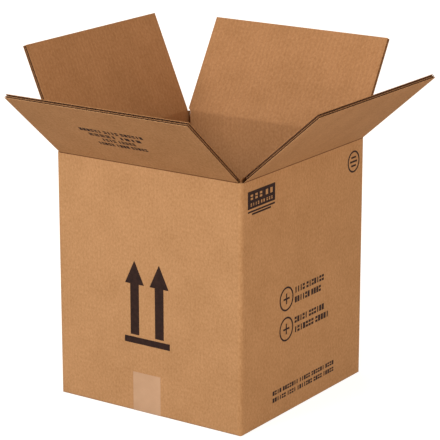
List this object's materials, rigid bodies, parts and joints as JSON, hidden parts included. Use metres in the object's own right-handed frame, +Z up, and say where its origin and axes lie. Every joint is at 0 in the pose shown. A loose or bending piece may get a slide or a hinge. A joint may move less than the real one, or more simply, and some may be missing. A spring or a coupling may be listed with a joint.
{
  "type": "shipping carton",
  "caption": "Open slotted shipping carton of double-wall corrugated board, with hinged top flaps, a taped base and plain printed handling arrows.",
  "frame": {"origin": "centre of the carton's base, on the surface that it stands on", "axes": "+Z up the walls, -Y out of the front wall with the two arrows, +X out of the right wall with the ring marks"},
  "size_m": [0.4989, 0.5202, 0.5129],
  "materials": {
    "kraft_board": "matt brown kraft liner with a faint washboard from the flutes",
    "packing_tape": "thin glossy see-through tan film",
    "printing_ink": "matt dark brown-black water-based printing ink"
  },
  "bodies": {
    "carton": {"carton_body": "kraft_board", "bottom_tape": "packing_tape", "arrow_print_left": "printing_ink", "arrow_print_right": "printing_ink", "arrow_bar_print": "printing_ink", "panel_print": "printing_ink", "panel_rule_print_1": "printing_ink", "panel_rule_print_2": "printing_ink", "seal_ring_print": "printing_ink", "code_ring_print_1": "printing_ink", "code_line_print_1": "printing_ink", "code_line_print_2": "printing_ink", "code_ring_print_2": "printing_ink", "code_line_print_3": "printing_ink", "code_line_print_4": "printing_ink", "foot_line_print_1": "printing_ink", "foot_line_print_2": "printing_ink"},
    "front_lid": {"front_flap": "kraft_board", "flap_line_print_1": "printing_ink", "flap_line_print_2": "printing_ink", "flap_line_print_3": "printing_ink", "flap_line_print_4": "printing_ink"},
    "right_lid": {"right_flap": "kraft_board"},
    "back_lid": {"back_flap": "kraft_board"},
    "left_lid": {"left_flap": "kraft_board"}
  },
  "joints": [
    {"name": "front_flap_fold", "type": "hinge", "parent": "carton", "child": "front_lid", "pos_m": [0, -0.1625, 0.36214], "axis": [-1, 0, 0], "range_deg": [-120.5, 139.5]},
    {"name": "right_flap_fold", "type": "hinge", "parent": "carton", "child": "right_lid", "pos_m": [0.16, 0, 0.366], "axis": [0, -1, 0], "range_deg": [-121.5, 138.5]},
    {"name": "back_flap_fold", "type": "hinge", "parent": "carton", "child": "back_lid", "pos_m": [0, 0.1625, 0.36149], "axis": [1, 0, 0], "range_deg": [-136.5, 120.5]},
    {"name": "left_flap_fold", "type": "hinge", "parent": "carton", "child": "left_lid", "pos_m": [-0.16, 0, 0.366], "axis": [0, 1, 0], "range_deg": [-147, 113]}
  ]
}
